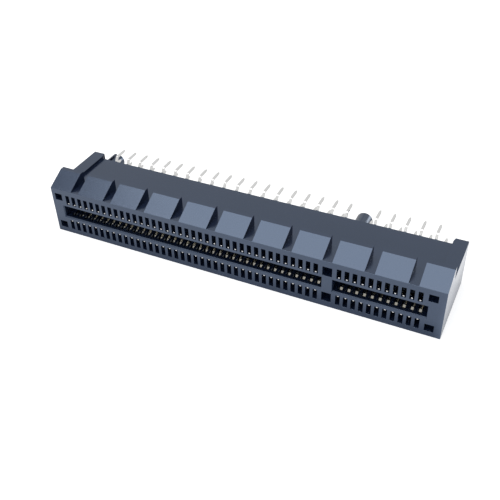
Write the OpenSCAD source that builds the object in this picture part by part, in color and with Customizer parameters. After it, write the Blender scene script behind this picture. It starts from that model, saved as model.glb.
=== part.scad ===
// Vertical card edge connector with a key rib, soldered into a board by two
// rows of contacts. All sizes in millimetres.
// X runs along the connector towards the short section, -Y is the way the
// mating face looks, +Y is the board side and Z is up from the flat underside.

/* [Positions] */
// Contact pairs in the long section
long_pairs = 38; // [4:1:44]
// Contact pairs in the short section
short_pairs = 11; // [3:1:14]
// Distance between neighbouring contacts
pitch = 1.00; // [0.95:0.05:1.30]
// Distance between the two contacts beside the key rib
key_span = 3.00; // [2.90:0.05:4.00]
// Distance from the last contact to the end of the housing
end_margin = 3.00; // [2.90:0.05:4.00]

/* [Housing] */
// Thickness of the housing at the mating face
face_h = 7.20; // [7.00:0.10:9.00]
// Distance from the mating face to the board
seat_depth = 11.25; // [10.75:0.05:14.00]
// Gap between the body and the board
board_gap = 0.70; // [0.55:0.05:0.90]
// Depth of the thick collar behind the mating face
collar_depth = 3.40; // [3.00:0.10:4.50]
// Step from the collar in to the body
body_step = 0.85; // [0.30:0.05:0.95]
// Width of the rail that stands the housing off the board at each end
rail_w = 1.85; // [1.20:0.05:1.90]
// Step from the collar down to the top of the rails
rail_step = 0.45; // [0.15:0.05:0.65]
// Length of the bevel on the inner rear edge of the rails
rail_bevel_l = 0.60; // [0.20:0.05:1.20]
// Width of the bevel on the inner rear edge of the rails
rail_bevel_w = 0.15; // [0.10:0.05:0.60]
// Set-back of the collar at the end of the long section
end_step = 0.40; // [0.10:0.05:0.60]

/* [Wedge ribs] */
// Height of the wedges above the collar
wedge_rise = 1.44; // [0.60:0.02:2.00]
// Flat land behind the slope of the wedges
wedge_land = 0.62; // [0.30:0.02:1.20]
// Width of the gaps between the wedges
gap_w = 1.25; // [0.80:0.05:2.00]
// Distance between neighbouring gaps
gap_pitch = 5.29; // [4.00:0.01:8.00]
// Shift of the row of gaps towards the short section
gap_shift = 0.20; // [-0.50:0.05:0.50]
// Least length of the block left at each end of the row
end_block = 3.00; // [2.00:0.10:4.00]

/* [Card slot] */
// Width of the slot
slot_w = 1.70; // [1.60:0.02:1.80]
// Depth of the slot
slot_depth = 8.00; // [7.00:0.10:8.40]
// Distance from the last contact to the end of the slot
slot_end = 0.95; // [0.60:0.05:1.10]
// Thickness of the key rib
key_w = 1.55; // [1.40:0.05:1.90]
// Lead-in at the sides of the mouth
side_lead = 0.15; // [0.05:0.01:0.22]
// Lead-in at the ends of the mouth
end_lead = 0.10; // [0.05:0.01:0.35]
// Depth of the lead-in
lead_depth = 0.18; // [0.10:0.02:0.40]

/* [Cavities] */
// Width of each contact cavity
cavity_w = 0.60; // [0.50:0.02:0.66]
// Height of each cavity at the mating face
cavity_h = 1.48; // [1.20:0.02:1.70]
// Thickness of the lip between the slot and a cavity
lip_t = 0.50; // [0.40:0.02:0.56]
// Depth of that lip behind the mating face
lip_depth = 0.60; // [0.45:0.05:0.90]

/* [Pockets] */
// Depth of the blind pockets in the mating face
pocket_depth = 2.00; // [0.80:0.10:2.50]
// Width of the end pockets
end_pocket_w = 1.16; // [0.80:0.02:1.30]
// Distance from the last contact to the end pockets
end_pocket_x = 1.50; // [1.30:0.05:1.70]
// Distance from the card's middle plane to the end pockets
end_pocket_z = 1.80; // [1.60:0.05:1.95]
// Height of the end pockets
end_pocket_h = 1.05; // [0.60:0.05:1.20]
// Width of the key pockets
key_pocket_w = 1.26; // [0.80:0.02:1.40]
// Distance from the card's middle plane to the key pockets
key_pocket_z = 1.35; // [1.20:0.05:1.80]
// Height of the key pockets
key_pocket_h = 1.35; // [0.80:0.05:1.40]

/* [Pegs] */
// Diameter of the locating pegs
peg_d = 2.20; // [1.80:0.05:2.30]
// Length of the pegs beyond the seat
peg_length = 3.70; // [2.20:0.10:4.50]
// Bevel round the tip of the pegs
peg_bevel = 0.15; // [0.10:0.05:0.50]
// Distance from the last contact of the long section to the split peg
split_peg_x = 1.65; // [1.55:0.05:1.75]
// Width of the split in that peg
split_w = 0.50; // [0.30:0.05:0.55]
// Width from the middle of that peg to the inner edge of the foot it stands on
foot_w = 1.25; // [1.15:0.05:1.30]
// Height of that foot
foot_h = 3.20; // [2.60:0.10:3.80]

/* [Contacts] */
// Thickness of the contact strip
strip_t = 0.20; // [0.14:0.01:0.24]
// Width of the spring beam
beam_w = 0.32; // [0.26:0.02:0.46]
// Width of the solder tail
tail_w = 0.36; // [0.24:0.02:0.44]
// Length of the tails beyond the seat
tail_length = 2.00; // [1.20:0.10:3.20]
// Distance from the card's middle plane to the inner row of tails
inner_row = 1.25; // [1.15:0.05:1.40]
// Distance from the card's middle plane to the outer row of tails
outer_row = 3.15; // [3.00:0.05:3.40]
// Inset of the contact tips from the mating face
tip_inset = 0.10; // [0.05:0.05:0.40]
// Width of the contact tips
tip_w = 0.20; // [0.14:0.02:0.24]
// Length over which the tips widen to the beam
tip_taper = 0.50; // [0.30:0.05:0.60]
// Depth at which the contact turns in towards the slot
ramp_depth = 1.28; // [1.15:0.02:1.50]
// Length of the steep ramp that it turns in by
ramp_run = 0.30; // [0.26:0.02:0.44]
// Rise of that ramp towards the slot
ramp_rise = 0.30; // [0.25:0.05:0.55]
// Depth at which the contact bulges most into the slot
bulge_depth = 3.20; // [2.90:0.05:3.60]
// Distance from the card's middle plane to the corner that the bulge is rounded from
bulge_z = 0.46; // [0.40:0.02:0.56]

/* [Hidden] */
$fn = 48;
// Run-in where shapes of one moulding join, and run-out of cuts
join = 0.50;
// Smooth steps along each bend of a contact
bend_steps = 5;

pairs = long_pairs + short_pairs;
long_span = (long_pairs - 1) * pitch;
short_span = (short_pairs - 1) * pitch;
field = long_span + key_span + short_span;
half_l = field / 2 + end_margin;
collar_x0 = -half_l + end_step;
mid_z = face_h / 2;
body_front = collar_depth - join;
body_depth = seat_depth - board_gap;
total_depth = seat_depth + max(peg_length, tail_length);
key_x = -field / 2 + long_span + key_span / 2;
split_x = -field / 2 - split_peg_x;

gap_count = floor((2 * half_l - 2 * end_block - gap_w) / gap_pitch) + 1;

// Heights above the card's middle plane of one side's cavity and contact
cavity_in = slot_w / 2 + lip_t;
cavity_out = cavity_in + cavity_h;
base_z = (inner_row + outer_row) / 2;
channel_in = base_z - strip_t / 2;
channel_out = base_z + strip_t / 2;
// Depths at which the outer wall of a cavity starts and ends its step in
step_wall = 0.60;
step_run = 0.50;
step_end = collar_depth - step_wall;
step_start = step_end - step_run;

// Bends of the contact strip, measured on its middle line
ramp_r = 0.20;
knee_r = 0.25;
bulge_r = 0.60;
root_r = 1.20;
jog_r = 0.15;
root_run = 0.40;
jog_lead = 0.10;
root_y = slot_depth - root_run;
jog_y0 = body_depth + jog_lead;
jog_y1 = seat_depth;
tip_z = cavity_in + strip_t / 2;
tail_taper = 0.40;

function contact_x(i) = -field / 2 + (i < long_pairs
    ? i * pitch
    : long_span + key_span + (i - long_pairs) * pitch);
function gap_x(i) = gap_shift + (i - (gap_count - 1) / 2) * gap_pitch;
function pair_name(i) = str("contact_pair_", i < 9 ? "0" : "", i + 1);
// The tails of neighbouring pairs stand in the inner and the outer row by turns
function tail_z(i) = i % 2 == 0 ? inner_row : outer_row;

// Strip paths: a list of corner points is rounded, then widened to an outline
function unit(v) = v / norm(v);
function left_of(d) = [-d[1], d[0]];
function turn(a, b) = atan2(a[0] * b[1] - a[1] * b[0], a * b);

function bend(p, q, s, r) =
    let (d0 = unit(q - p), d1 = unit(s - q), angle = turn(d0, d1))
    let (start = q - d0 * r * tan(abs(angle) / 2))
    let (centre = start + left_of(d0) * r * sign(angle))
    [for (k = [0:bend_steps])
        let (a = angle * k / bend_steps)
        let (arm = start - centre)
        centre + [arm[0] * cos(a) - arm[1] * sin(a), arm[0] * sin(a) + arm[1] * cos(a)]];

function rounded(points, radii) = concat(
    [points[0]],
    [for (i = [1:len(points) - 2])
        each bend(points[i - 1], points[i], points[i + 1], radii[i - 1])],
    [points[len(points) - 1]]);

function path_dir(path, i) = unit(path[min(i + 1, len(path) - 1)] - path[min(i, len(path) - 2)]);
function miter(path, i) =
    let (n0 = left_of(path_dir(path, max(i - 1, 0))), n1 = left_of(path_dir(path, i)))
    (n0 + n1) / (1 + n0 * n1);

function ribbon(path, t) = concat(
    [for (i = [0:len(path) - 1]) path[i] + miter(path, i) * t / 2],
    [for (i = [len(path) - 1:-1:0]) path[i] - miter(path, i) * t / 2]);

// Shared placing
module placed() {
    translate([0, -total_depth / 2, 0])
        children();
}

module along_x(x0, x1) {
    translate([x0, 0, 0])
        rotate([90, 0, 90])
            linear_extrude(x1 - x0)
                children();
}

module block(x0, x1, y0, y1, z0, z1) {
    translate([x0, y0, z0])
        cube([x1 - x0, y1 - y0, z1 - z0]);
}

// Draws its children above the card's middle plane and mirrored below it
module both_sides() {
    translate([0, 0, mid_z])
        for (side = [0, 1])
            mirror([0, 0, side])
                children();
}

// Housing
module collar() {
    block(collar_x0, half_l, 0, collar_depth, 0, face_h);
}

module body() {
    block(-half_l, half_l, body_front, body_depth, body_step, face_h - body_step);
}

module rail() {
    linear_extrude(face_h - rail_step)
        polygon([
            [half_l - rail_w, body_front],
            [half_l, body_front],
            [half_l, seat_depth],
            [half_l - rail_w + rail_bevel_w, seat_depth],
            [half_l - rail_w, seat_depth - rail_bevel_l]]);
}

module rails() {
    for (end = [0, 1])
        mirror([end, 0, 0])
            rail();
}

module wedge(x0, x1) {
    along_x(x0, x1)
        polygon([
            [0, face_h - join],
            [0, face_h],
            [collar_depth - wedge_land, face_h + wedge_rise],
            [collar_depth, face_h + wedge_rise],
            [collar_depth, face_h - join]]);
}

module wedges() {
    for (i = [0:gap_count])
        wedge(
            i == 0 ? collar_x0 : gap_x(i - 1) + gap_w / 2,
            i == gap_count ? half_l : gap_x(i) - gap_w / 2);
}

module peg(x) {
    base = body_depth - join;
    length = seat_depth + peg_length - base;
    translate([x, base, mid_z])
        rotate([-90, 0, 0])
            rotate_extrude()
                polygon([
                    [0, 0],
                    [peg_d / 2, 0],
                    [peg_d / 2, length - peg_bevel],
                    [peg_d / 2 - peg_bevel, length],
                    [0, length]]);
}

// Foot round the root of the split peg, level with the rails
module foot() {
    block(
        -half_l, split_x + foot_w,
        body_depth - join, seat_depth,
        mid_z - foot_h / 2, mid_z + foot_h / 2);
}

module peg_split() {
    block(
        split_x - split_w / 2, split_x + split_w / 2,
        seat_depth + join, seat_depth + peg_length + join,
        mid_z - peg_d, mid_z + peg_d);
}

// One part of the slot between x0 and x1, with a lead-in round its mouth
module slot_part(x0, x1) {
    run = 1 + join / lead_depth;
    side = slot_w / 2;
    block(x0, x1, -join, slot_depth, mid_z - side, mid_z + side);
    intersection() {
        along_x(x0 - end_lead * run, x1 + end_lead * run)
            translate([0, mid_z])
                polygon([
                    [-join, -side - side_lead * run],
                    [-join, side + side_lead * run],
                    [lead_depth, side],
                    [lead_depth, -side]]);
        linear_extrude(face_h)
            polygon([
                [x0 - end_lead * run, -join],
                [x1 + end_lead * run, -join],
                [x1, lead_depth],
                [x0, lead_depth]]);
    }
}

module card_slot() {
    slot_part(-field / 2 - slot_end, key_x - key_w / 2);
    slot_part(key_x + key_w / 2, field / 2 + slot_end);
}

// Outer chamber, lip, opening to the slot and the channel that holds the contact
module cavity_outline() {
    polygon([
        [-join, cavity_in],
        [-join, cavity_out],
        [step_start, cavity_out],
        [step_end, channel_out],
        [body_depth + join, channel_out],
        [body_depth + join, channel_in],
        [slot_depth, channel_in],
        [slot_depth, 0],
        [lip_depth, 0],
        [lip_depth, cavity_in]]);
}

module cavities() {
    for (i = [0:pairs - 1])
        both_sides()
            along_x(contact_x(i) - cavity_w / 2, contact_x(i) + cavity_w / 2)
                cavity_outline();
}

module pocket(x, z, w, h) {
    block(x - w / 2, x + w / 2, -join, pocket_depth, z, z + h);
}

module pockets() {
    both_sides() {
        pocket(-field / 2 - end_pocket_x, end_pocket_z, end_pocket_w, end_pocket_h);
        pocket(field / 2 + end_pocket_x, end_pocket_z, end_pocket_w, end_pocket_h);
        pocket(key_x, key_pocket_z, key_pocket_w, key_pocket_h);
    }
}

module housing() {
    color("#525b6e")
        placed()
            difference() {
                union() {
                    collar();
                    wedges();
                    body();
                    rails();
                    foot();
                    peg(key_x);
                    peg(split_x);
                }
                card_slot();
                cavities();
                pockets();
                peg_split();
            }
}

// Contacts, drawn above the card's middle plane round x = 0
module beam() {
    path = rounded(
        [
            [tip_inset, tip_z],
            [ramp_depth, tip_z],
            [ramp_depth + ramp_run, tip_z - ramp_rise],
            [bulge_depth, bulge_z],
            [root_y, base_z],
            [slot_depth + join, base_z]],
        [ramp_r, knee_r, bulge_r, root_r]);
    intersection() {
        along_x(-beam_w / 2, beam_w / 2)
            polygon(ribbon(path, strip_t));
        linear_extrude(outer_row)
            beam_plan();
    }
}

module beam_plan() {
    polygon([
        [-tip_w / 2, tip_inset],
        [tip_w / 2, tip_inset],
        [beam_w / 2, tip_inset + tip_taper],
        [beam_w / 2, slot_depth + join],
        [-beam_w / 2, slot_depth + join],
        [-beam_w / 2, tip_inset + tip_taper]]);
}

module base() {
    block(-cavity_w / 2, cavity_w / 2, slot_depth, body_depth, channel_in, channel_out);
}

module jog(row_z) {
    path = rounded(
        [
            [body_depth - join, base_z],
            [jog_y0, base_z],
            [jog_y1, row_z],
            [seat_depth + join, row_z]],
        [jog_r, jog_r]);
    along_x(-tail_w / 2, tail_w / 2)
        polygon(ribbon(path, strip_t));
}

module tail(row_z) {
    tip = seat_depth + tail_length;
    translate([0, 0, row_z - strip_t / 2])
        linear_extrude(strip_t)
            polygon([
                [-tail_w / 2, seat_depth + join / 2],
                [tail_w / 2, seat_depth + join / 2],
                [tail_w / 2, tip - tail_taper],
                [tail_w / 4, tip],
                [-tail_w / 4, tip],
                [-tail_w / 2, tip - tail_taper]]);
}

module contact(row_z) {
    beam();
    base();
    jog(row_z);
    tail(row_z);
}

module contact_pair(i) {
    color("#c9b26a")
        placed()
            translate([contact_x(i), 0, 0])
                both_sides()
                    contact(tail_z(i));
}

housing();
for (i = [0:pairs - 1])
    contact_pair(i);
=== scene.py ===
"""Dresses a card edge connector: slate housing, plated contacts and a white studio floor."""
import math

import bpy
from mathutils import Matrix, Vector


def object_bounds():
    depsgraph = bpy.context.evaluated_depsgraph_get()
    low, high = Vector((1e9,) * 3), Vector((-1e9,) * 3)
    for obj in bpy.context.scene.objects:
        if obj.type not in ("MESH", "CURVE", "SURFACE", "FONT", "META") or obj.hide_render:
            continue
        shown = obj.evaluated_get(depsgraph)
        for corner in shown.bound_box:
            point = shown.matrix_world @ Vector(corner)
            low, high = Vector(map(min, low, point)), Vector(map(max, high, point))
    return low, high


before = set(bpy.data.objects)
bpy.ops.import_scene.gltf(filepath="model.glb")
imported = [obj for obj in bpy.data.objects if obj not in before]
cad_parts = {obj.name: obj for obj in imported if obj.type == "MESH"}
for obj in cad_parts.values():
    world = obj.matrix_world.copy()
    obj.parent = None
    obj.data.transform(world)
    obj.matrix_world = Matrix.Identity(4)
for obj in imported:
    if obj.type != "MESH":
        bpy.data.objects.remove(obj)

CAD_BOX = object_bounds()
MM = 0.001

# Sides of the CAD box: mating face, tips of the pegs and right end
FACE_Y = CAD_BOX[0][1]
BACK_Y = CAD_BOX[1][1]
END_X = CAD_BOX[1][0]

# Camera: place in the frame's millimetres, view direction, roll in degrees and lens
CAMERA_AT = (35.53, -72.38, 62.96)
CAMERA_LOOKS = (-0.35049, 0.70264, -0.61924)
CAMERA_ROLL = -1.895
CAMERA_NEAR = 5 * MM
FOCAL_PX = 733.2
IMAGE_PX = 500
SENSOR = 36.0

# Rounding of the moulded edges that turn by more than an angle in degrees
EDGE_ROUND = 0.05 * MM
EDGE_STEPS = 2
EDGE_ANGLE = 30.0
WELD_GAP = 0.001 * MM

# Faces of the housing that get a treatment of their own, told by their normals and places: the
# walls between the wedges, darkened by less gloss as painted shade, and the round pegs
WALL_NORMAL = 0.9
WALL_INSIDE = END_X - 0.5 * MM
WALL_ABOVE = 5.9 * MM
PEG_NORMAL = 0.01

# Range in which most of a noise lies
NOISE_RANGE = (0.3, 0.7)

# Plastic: colours, linear, of its body and its reflections, and its gloss, which is lowered on
# the walls between the wedges as painted shade
SLATE_DARK = (0.008, 0.015, 0.038, 1)
SLATE_LIGHT = (0.011, 0.019, 0.046, 1)
SLATE_SHEEN = (0.60, 0.75, 1.0, 1)
SLATE_IOR = 2.1
SLATE_ROUGH = (0.17, 0.23)
GLOSS = 0.5
# Gloss of the walls between the wedges, lowered to darken them: painted shade
PAINTED_SHADE_GLOSS = 0.05

# Noises: features per metre, detail and stretch. Bumps: depth and strength
FLOW_NOISE = (260, 4, (0.35, 1, 1))
FLOW_STOPS = ((0.35, SLATE_DARK), (0.65, SLATE_LIGHT))
GRAIN_NOISE = (14000, 3, (1, 1, 1))
GRAIN_BUMP = (0.01 * MM, 0.35)

# Contacts: colours, linear, by share of the way from the mating face to the tips of the pegs;
# near-white at the very front as a painted highlight
# Near-white front of the contacts: painted highlight
PAINTED_HIGHLIGHT_TIP = (0.94, 0.94, 0.93, 1)
GOLD = (0.50, 0.48, 0.42, 1)
TIN = (0.98, 0.98, 0.97, 1)
PLATING_STOPS = ((0.03, PAINTED_HIGHLIGHT_TIP), (0.06, GOLD), (0.52, GOLD), (0.60, TIN))
METAL_ROUGH = (0.10, 0.18)
ROLLING_NOISE = (9000, 2, (1, 0.06, 1))
ROLLING_BUMP = (0.002 * MM, 0.15)

# Floor: half its side in metres, its lit colour and the white added for the camera
FLOOR_HALF = 4.0
FLOOR = (0.90, 0.90, 0.90, 1)
FLOOR_GLOW = 0.62

# White added to the floor in reflections only, as painted reflection, and where it starts and
# is full:
# along Y away from the mating face, so that reflections close to it stay darker as painted
# shade, and along X past the right end, as a painted bright reflection on that end
FRONT_SHINE = 0.3
FRONT_RISE = (FACE_Y - 0.8 * MM, FACE_Y - 3 * MM)
END_SHINE = 1.0
END_RISE = (END_X - 1 * MM, END_X + 1.4 * MM)

# Backdrop: its light on the object, its white in reflections, and its white for the camera,
# which is that of the far floor, so that no horizon shows
WORLD_COLOUR = (1, 1, 1, 1)
WORLD_LIGHT = 0.32
WORLD_SHINE = 0.64
WORLD_WHITE = 0.91

# Soft panels: name, place, aim and size in millimetres, power in watts
PANELS = (
    ("overhead", (-51, -30, 300), (-51, -30, 0), (304, 260), 0.40),
    ("front_fill", (0, -300, 70), (0, 0, 4), (240, 100), 0.35),
    ("right_rear", (190, 230, 45), (28, 0, 3), (160, 90), 0.12),
)


# Node helpers

def add_node(tree, kind, values=None):
    """New shader node with constants set on its sockets."""
    node = tree.nodes.new("ShaderNode" + kind)
    for socket, value in (values or {}).items():
        node.inputs[socket].default_value = value
    return node


def new_material(name):
    """Material with nothing but its output node."""
    material = bpy.data.materials.new(name)
    material.use_nodes = True
    tree = material.node_tree
    tree.nodes.clear()
    return material, tree, add_node(tree, "OutputMaterial")


def frame_place(tree, axis):
    """One coordinate of the shaded point in the frame, in metres."""
    coords = add_node(tree, "TexCoord")
    split = add_node(tree, "SeparateXYZ")
    tree.links.new(coords.outputs["Object"], split.inputs["Vector"])
    return split.outputs[axis]


def frame_noise(tree, scale, detail, stretch):
    """Noise in the frame's own space."""
    coords = add_node(tree, "TexCoord")
    mapping = add_node(tree, "Mapping", {"Scale": stretch})
    texture = add_node(tree, "TexNoise", {"Scale": scale, "Detail": detail})
    tree.links.new(coords.outputs["Object"], mapping.inputs["Vector"])
    tree.links.new(mapping.outputs["Vector"], texture.inputs["Vector"])
    return texture.outputs["Fac"]


def map_range(tree, value, source, target):
    """Maps a value from the source range to the target range, and no further."""
    node = add_node(tree, "MapRange", {
        "From Min": source[0], "From Max": source[1],
        "To Min": target[0], "To Max": target[1]})
    tree.links.new(value, node.inputs["Value"])
    return node.outputs["Result"]


def ramp(tree, value, stops):
    """Colour ramp through stops of a position and a colour."""
    node = add_node(tree, "ValToRGB")
    elements = node.color_ramp.elements
    for element, (position, colour) in zip(elements, (stops[0], stops[-1])):
        element.position = position
        element.color = colour
    for position, colour in stops[1:-1]:
        elements.new(position).color = colour
    tree.links.new(value, node.inputs["Fac"])
    return node.outputs["Color"]


def bump(tree, height, distance, strength):
    """Normal that follows a height."""
    node = add_node(tree, "Bump", {"Distance": distance, "Strength": strength})
    tree.links.new(height, node.inputs["Height"])
    return node.outputs["Normal"]


def calculate(tree, operation, *values):
    """Result of one math node on links and numbers."""
    node = add_node(tree, "Math")
    node.operation = operation
    for socket, value in zip(node.inputs, values):
        if isinstance(value, bpy.types.NodeSocket):
            tree.links.new(value, socket)
        else:
            socket.default_value = value
    return node.outputs["Value"]


def join_surface(tree, shader, output, colour, roughness, normal):
    """Links a surface's three varying inputs, and the surface to the output."""
    for socket, value in (("Base Color", colour), ("Roughness", roughness), ("Normal", normal)):
        tree.links.new(value, shader.inputs[socket])
    tree.links.new(shader.outputs["BSDF"], output.inputs["Surface"])


# Materials

def moulded_plastic(name, gloss):
    """Glass-filled slate plastic: fine spark-eroded grain, faint flow marks, uneven satin."""
    material, tree, output = new_material(name)
    shader = add_node(tree, "BsdfPrincipled", {
        "IOR": SLATE_IOR, "Specular IOR Level": gloss, "Specular Tint": SLATE_SHEEN})
    flow = frame_noise(tree, *FLOW_NOISE)
    grain = frame_noise(tree, *GRAIN_NOISE)
    join_surface(
        tree, shader, output,
        ramp(tree, flow, FLOW_STOPS),
        map_range(tree, flow, NOISE_RANGE, SLATE_ROUGH),
        bump(tree, grain, *GRAIN_BUMP))
    return material


def plated_metal():
    """Formed strip: tip painted near-white as a highlight, gold where it meets the card, tin
    behind, rolling lines.
    """
    material, tree, output = new_material("plated_contact")
    shader = add_node(tree, "BsdfPrincipled", {"Metallic": 1.0})
    depth = map_range(tree, frame_place(tree, "Y"), (FACE_Y, BACK_Y), (0, 1))
    rolling = frame_noise(tree, *ROLLING_NOISE)
    join_surface(
        tree, shader, output,
        ramp(tree, depth, PLATING_STOPS),
        map_range(tree, rolling, NOISE_RANGE, METAL_ROUGH),
        bump(tree, rolling, *ROLLING_BUMP))
    return material


def studio_floor():
    """Pale lit floor with the object's shadow, white added for the camera, and in reflections
    painted white that is darker near the mating face and bright past the right end.
    """
    material, tree, output = new_material("studio_floor")
    lit = add_node(tree, "BsdfDiffuse", {"Color": FLOOR})
    glow = add_node(tree, "Emission")
    both = add_node(tree, "AddShader")
    rays = add_node(tree, "LightPath").outputs
    # Painted shade in reflections near the mating face, and a painted bright reflection past
    # the right end
    front = map_range(tree, frame_place(tree, "Y"), FRONT_RISE, (0, FRONT_SHINE))
    end = map_range(tree, frame_place(tree, "X"), END_RISE, (0, END_SHINE))
    shine = calculate(
        tree, "MULTIPLY", rays["Is Glossy Ray"], calculate(tree, "ADD", front, end))
    white = calculate(tree, "MULTIPLY_ADD", rays["Is Camera Ray"], FLOOR_GLOW, shine)
    tree.links.new(white, glow.inputs["Strength"])
    tree.links.new(lit.outputs["BSDF"], both.inputs[0])
    tree.links.new(glow.outputs["Emission"], both.inputs[1])
    tree.links.new(both.outputs["Shader"], output.inputs["Surface"])
    return material


# Dressing of the frame's own nodes

def dress(obj, *materials):
    """Gives a node these materials, the first of them on all its faces."""
    obj.data.materials.clear()
    for material in materials:
        obj.data.materials.append(material)


def paint_shade_on_gap_walls(mesh):
    """Puts the walls that stand across X between the wedges in the second material slot, whose
    low gloss paints shade on them.
    """
    for face in mesh.polygons:
        x, y, z = face.center
        if abs(face.normal.x) > WALL_NORMAL and abs(x) < WALL_INSIDE and z > WALL_ABOVE:
            face.material_index = 1


def smooth_pegs(mesh):
    """Smooth shading on the round pegs, whose sides alone face between X and Z."""
    for face in mesh.polygons:
        x, y, z = (abs(part) for part in face.normal)
        face.use_smooth = min(x, z) > PEG_NORMAL > y


def round_edges(obj):
    """Flat faces, smooth pegs and a small rounding on the sharp edges."""
    mesh = obj.data
    if "custom_normal" in mesh.attributes:
        mesh.attributes.remove(mesh.attributes["custom_normal"])
    mesh.shade_flat()
    smooth_pegs(mesh)
    weld = obj.modifiers.new("weld", "WELD")
    weld.merge_threshold = WELD_GAP
    bevel = obj.modifiers.new("edge_round", "BEVEL")
    bevel.width = EDGE_ROUND
    bevel.segments = EDGE_STEPS
    bevel.limit_method = "ANGLE"
    bevel.angle_limit = math.radians(EDGE_ANGLE)


def dress_part():
    """Materials on every node, painted shade on the housing's walls between the wedges, and
    rounding on its edges.
    """
    plastic = moulded_plastic("moulded_slate", GLOSS)
    # Same plastic with little gloss: painted shade on the walls between the wedges
    painted_shade_plastic = moulded_plastic("moulded_slate_painted_shade", PAINTED_SHADE_GLOSS)
    metal = plated_metal()
    for name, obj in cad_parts.items():
        if name == "housing":
            dress(obj, plastic, painted_shade_plastic)
            paint_shade_on_gap_walls(obj.data)
            round_edges(obj)
        else:
            dress(obj, metal)


# Stage

def add_floor():
    """Large square floor at the part's underside."""
    mesh = bpy.data.meshes.new("floor")
    half = FLOOR_HALF
    corners = [(-half, -half, 0), (half, -half, 0), (half, half, 0), (-half, half, 0)]
    mesh.from_pydata(corners, [], [(0, 1, 2, 3)])
    floor = bpy.data.objects.new("floor", mesh)
    bpy.context.scene.collection.objects.link(floor)
    floor.data.materials.append(studio_floor())


def add_panel(name, at, aim, size, power):
    """Soft rectangular light at one point, facing another."""
    light = bpy.data.lights.new(name, "AREA")
    light.shape = "RECTANGLE"
    light.size = size[0] * MM
    light.size_y = size[1] * MM
    light.energy = power
    panel = bpy.data.objects.new(name, light)
    panel.location = Vector(at) * MM
    panel.rotation_euler = (Vector(aim) - Vector(at)).to_track_quat("-Z", "Y").to_euler()
    bpy.context.scene.collection.objects.link(panel)


def add_world():
    """Even light on the object, with white where reflections or the camera see the backdrop."""
    world = bpy.data.worlds.new("studio")
    bpy.context.scene.world = world
    world.use_nodes = True
    tree = world.node_tree
    tree.nodes.clear()
    output = add_node(tree, "OutputWorld")
    rays = add_node(tree, "LightPath").outputs
    light = add_node(tree, "Background", {"Color": WORLD_COLOUR, "Strength": WORLD_LIGHT})
    shaded = light.outputs["Background"]
    for ray, level in (("Is Glossy Ray", WORLD_SHINE), ("Is Camera Ray", WORLD_WHITE)):
        white = add_node(tree, "Background", {"Color": WORLD_COLOUR, "Strength": level})
        mix = add_node(tree, "MixShader")
        tree.links.new(rays[ray], mix.inputs["Fac"])
        tree.links.new(shaded, mix.inputs[1])
        tree.links.new(white.outputs["Background"], mix.inputs[2])
        shaded = mix.outputs["Shader"]
    tree.links.new(shaded, output.inputs["Surface"])


def add_camera():
    """Camera that was fitted to the photograph."""
    data = bpy.data.cameras.new("camera")
    data.sensor_width = SENSOR
    data.lens = FOCAL_PX / IMAGE_PX * SENSOR
    data.clip_start = CAMERA_NEAR
    camera = bpy.data.objects.new("camera", data)
    back = -Vector(CAMERA_LOOKS).normalized()
    level = Vector((0, 0, 1)).cross(back).normalized()
    up = back.cross(level)
    roll = math.radians(CAMERA_ROLL)
    right = math.cos(roll) * level + math.sin(roll) * up
    upright = back.cross(right)
    turn = Matrix((right, upright, back)).transposed().to_4x4()
    camera.matrix_world = Matrix.Translation(Vector(CAMERA_AT) * MM) @ turn
    bpy.context.scene.collection.objects.link(camera)
    bpy.context.scene.camera = camera


dress_part()
add_floor()
add_world()
for panel in PANELS:
    add_panel(*panel)
add_camera()
bpy.context.scene.view_settings.view_transform = "Standard"
